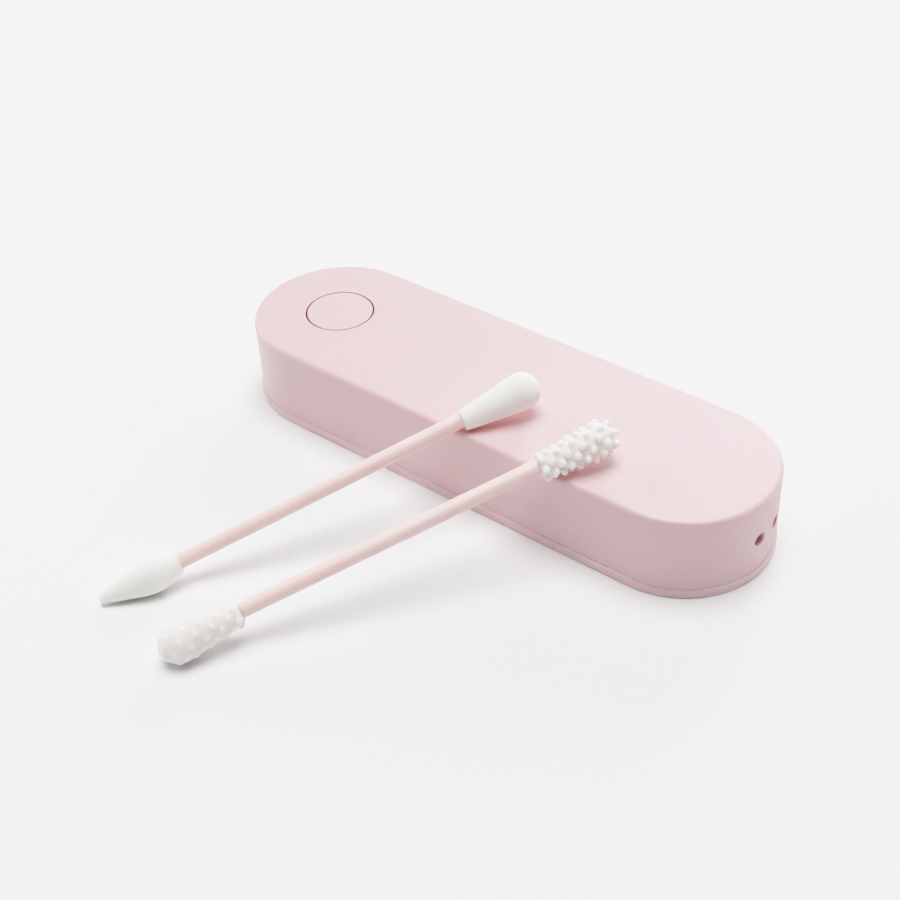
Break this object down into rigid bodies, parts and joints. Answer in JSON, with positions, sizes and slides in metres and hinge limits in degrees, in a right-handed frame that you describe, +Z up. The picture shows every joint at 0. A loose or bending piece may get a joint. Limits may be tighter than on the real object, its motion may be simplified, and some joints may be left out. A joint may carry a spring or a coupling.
{
  "type": "reusable ear swab set with swivel case",
  "caption": "Reusable ear cleaning swabs with soft silicone tips, smooth and nubbed, leaning on their slim round-ended swivel case.",
  "frame": {"origin": "centre of the case's flat underside", "axes": "+X along the case from its pivot to its vented free end, +Y across the case away from the swabs, +Z up from the surface it lies on"},
  "size_m": [0.1004, 0.0844, 0.0225],
  "materials": {
    "case_plastic": "satin pale pink moulded plastic",
    "rod_plastic": "smooth light pink plastic",
    "tip_silicone": "matte white silicone",
    "washer_plastic": "natural acetal",
    "screw_steel": "plated steel"
  },
  "bodies": {
    "case": {"case_shell": "case_plastic", "swab_rest_pivot_side": "case_plastic", "swab_rest_free_side": "case_plastic"},
    "plate": {"base_plate": "case_plastic", "pivot_pin": "case_plastic", "pivot_washer": "washer_plastic", "pivot_screw": "screw_steel"},
    "smooth_swab": {"smooth_swab_rod": "rod_plastic", "smooth_swab_pointed_tip": "tip_silicone", "smooth_swab_round_tip": "tip_silicone"},
    "bumpy_swab": {"bumpy_swab_rod": "rod_plastic", "bumpy_swab_drop_tip": "tip_silicone", "bumpy_swab_brush_tip": "tip_silicone"}
  },
  "joints": [
    {"name": "plate_swivel", "type": "hinge", "parent": "case", "child": "plate", "pos_m": [-0.035, 0, 0], "axis": [0, 0, 1], "range_deg": [0, 180]},
    {"name": "smooth_swab_lift", "type": "slide", "parent": "case", "child": "smooth_swab", "axis": [0, 0, 1], "range_m": [0, 0.04]},
    {"name": "bumpy_swab_lift", "type": "slide", "parent": "case", "child": "bumpy_swab", "axis": [0, 0, 1], "range_m": [0, 0.04]}
  ]
}
